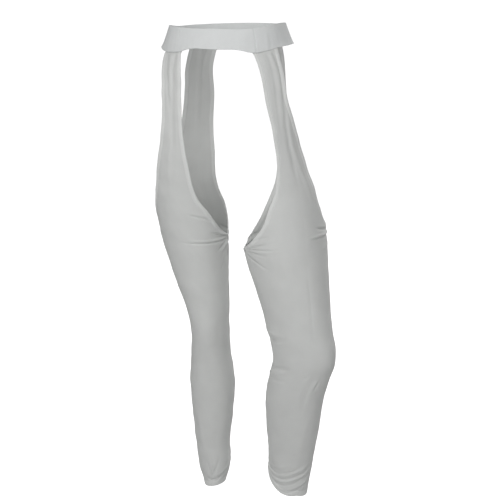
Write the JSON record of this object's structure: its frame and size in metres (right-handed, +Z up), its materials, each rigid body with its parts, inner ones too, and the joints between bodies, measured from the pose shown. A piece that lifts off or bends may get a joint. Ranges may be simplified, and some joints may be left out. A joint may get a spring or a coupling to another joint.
{
  "type": "jersey chaps",
  "caption": "Pair of close-fitting jersey chaps, worn: long legs hung from a waistband by wide front and back straps, open at the seat, front and hips.",
  "frame": {"origin": "middle of the waistband, half way up it, where the wearer's waist holds the garment", "axes": "+X to the wearer's left, -Y to the front, +Z up"},
  "size_m": [0.4072, 0.226, 1.0307],
  "materials": {
    "band_jersey": "matte white stretch jersey, doubled",
    "leg_jersey": "matte white stretch jersey"
  },
  "bodies": {
    "root": {"waistband_front": "band_jersey", "waistband_back": "band_jersey", "right_leg_front": "leg_jersey", "right_leg_back": "leg_jersey", "left_leg_front": "leg_jersey", "left_leg_back": "leg_jersey"}
  },
  "joints": []
}
